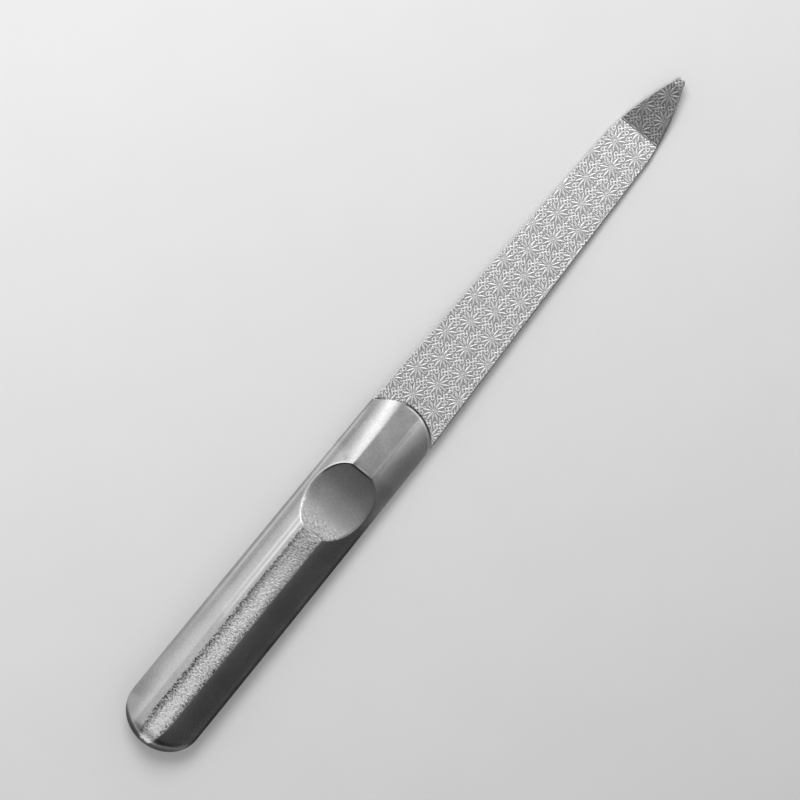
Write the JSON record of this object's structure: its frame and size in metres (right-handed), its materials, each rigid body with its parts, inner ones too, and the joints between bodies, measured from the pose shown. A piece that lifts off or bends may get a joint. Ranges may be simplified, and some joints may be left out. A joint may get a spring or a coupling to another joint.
{
  "type": "metal nail file",
  "caption": "Double-sided metal nail file: tapered etched blade with an upturned pointed tip, set in a hollow pressed-steel handle that has a thumb scoop in each face.",
  "frame": {"origin": "middle of the whole object's bounding box, in the blade's mid-plane", "axes": "+X along the file towards the tip, +Z square to the blade's faces on the side the tip is bent to, +Y to the left of the way to the tip"},
  "size_m": [0.165, 0.0158, 0.0064],
  "materials": {
    "pressed_steel": "satin nickel-plated steel with a fine pebbled grain",
    "etched_steel": "steel etched all over with a fine rosette filing pattern, plain ground bevels along the edges"
  },
  "bodies": {
    "root": {"handle_front_shell": "pressed_steel", "handle_back_shell": "pressed_steel", "file_blade": "etched_steel"}
  },
  "joints": []
}
